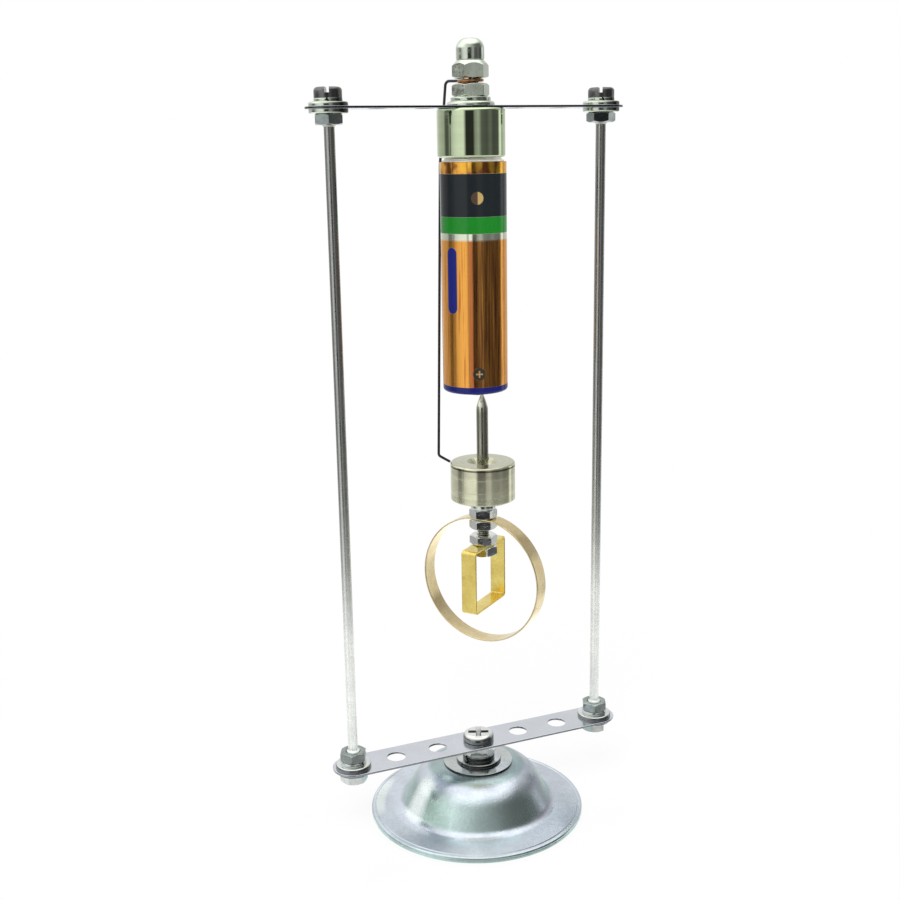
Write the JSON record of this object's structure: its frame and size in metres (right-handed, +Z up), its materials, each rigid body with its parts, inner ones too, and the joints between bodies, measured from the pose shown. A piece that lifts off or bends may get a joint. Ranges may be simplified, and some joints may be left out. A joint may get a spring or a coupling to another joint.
{
  "type": "demonstration electric motor",
  "caption": "Small upright homopolar motor: a cell hangs by magnet in a strip-and-post frame on a dished base, and carries a spinning pin with ring magnets and brass loops.",
  "frame": {"origin": "centre of the footprint on the table, under the middle of the strips", "axes": "+Z up, +X along the two strips towards the right-hand post, +Y to the back"},
  "size_m": [0.0716, 0.05, 0.175],
  "materials": {
    "base_zinc": "bright zinc plate, satin from the pressing, cool green-grey",
    "strip_steel": "zinc plated sheet, soft pale lilac-grey",
    "post_steel": "bright zinc plate, fine turning marks",
    "fastener_steel": "bright zinc plated nuts, washers and screw heads",
    "magnet_nickel": "polished nickel plate, faintly warm",
    "loop_brass": "bare rolled brass, satin",
    "wire_enamel": "black enamel on copper, copper showing at the eye",
    "pin_steel": "dark rolled thread, lightly oiled",
    "cell_steel": "nickel plated drawn steel",
    "cell_label": "glossy printed sleeve in gold, black, green, silver and blue bands",
    "cell_cathode": "pressed black oxide",
    "cell_separator": "soft white cellulose",
    "cell_anode": "dull grey zinc paste",
    "cell_collector": "drawn brass",
    "cell_seal": "dark moulded nylon"
  },
  "bodies": {
    "stand": {"base_dome": "base_zinc", "base_screw": "fastener_steel", "base_lock_nut": "fastener_steel", "base_large_washer": "fastener_steel", "base_small_washer": "fastener_steel", "base_spring_washer": "fastener_steel", "base_spacer_nut": "fastener_steel", "lower_strip": "strip_steel", "upper_strip": "strip_steel", "left_post": "post_steel", "left_top_washer": "fastener_steel", "left_top_spring_washer": "fastener_steel", "left_upper_under_washer": "fastener_steel", "left_upper_nut": "fastener_steel", "left_lower_nut": "fastener_steel", "left_lower_spring_washer": "fastener_steel", "left_lower_washer": "fastener_steel", "left_lower_under_washer": "fastener_steel", "left_end_nut": "fastener_steel", "right_post": "post_steel", "right_top_washer": "fastener_steel", "right_top_spring_washer": "fastener_steel", "right_upper_under_washer": "fastener_steel", "right_upper_nut": "fastener_steel", "right_lower_nut": "fastener_steel", "right_lower_spring_washer": "fastener_steel", "right_lower_washer": "fastener_steel", "right_lower_under_washer": "fastener_steel", "right_end_nut": "fastener_steel", "hanger_magnet": "magnet_nickel", "hanger_screw": "fastener_steel", "hanger_flat_washer": "fastener_steel", "hanger_spring_washer": "fastener_steel", "hanger_nut": "fastener_steel", "hanger_cap_nut": "fastener_steel"},
    "contact_wire": {"contact_wire": "wire_enamel"},
    "battery": {"battery_can": "cell_steel", "battery_label": "cell_label", "battery_cathode": "cell_cathode", "battery_separator": "cell_separator", "battery_anode": "cell_anode", "battery_collector": "cell_collector", "battery_seal": "cell_seal", "battery_negative_cap": "cell_steel"},
    "rotor": {"rotor_pin": "pin_steel", "rotor_magnet_top": "magnet_nickel", "rotor_magnet_middle": "magnet_nickel", "rotor_magnet_bottom": "magnet_nickel", "rotor_washer": "fastener_steel", "rotor_spring_washer": "fastener_steel", "magnet_clamp_nut": "fastener_steel", "round_loop": "loop_brass", "round_loop_nut": "fastener_steel", "square_loop_nut": "fastener_steel", "square_loop": "loop_brass", "rotor_end_nut": "fastener_steel"}
  },
  "joints": [
    {"name": "battery_release", "type": "slide", "parent": "stand", "child": "battery", "axis": [0, 0, -1], "range_m": [0, 0.012]},
    {"name": "rotor_spin", "type": "hinge", "parent": "battery", "child": "rotor", "pos_m": [0.00185, 0, 0.1003], "axis": [0, 0, 1], "continuous": true},
    {"name": "wire_swing", "type": "hinge", "parent": "stand", "child": "contact_wire", "pos_m": [0, 0, 0.1666], "axis": [0, 0, 1], "range_deg": [0, 20]}
  ]
}
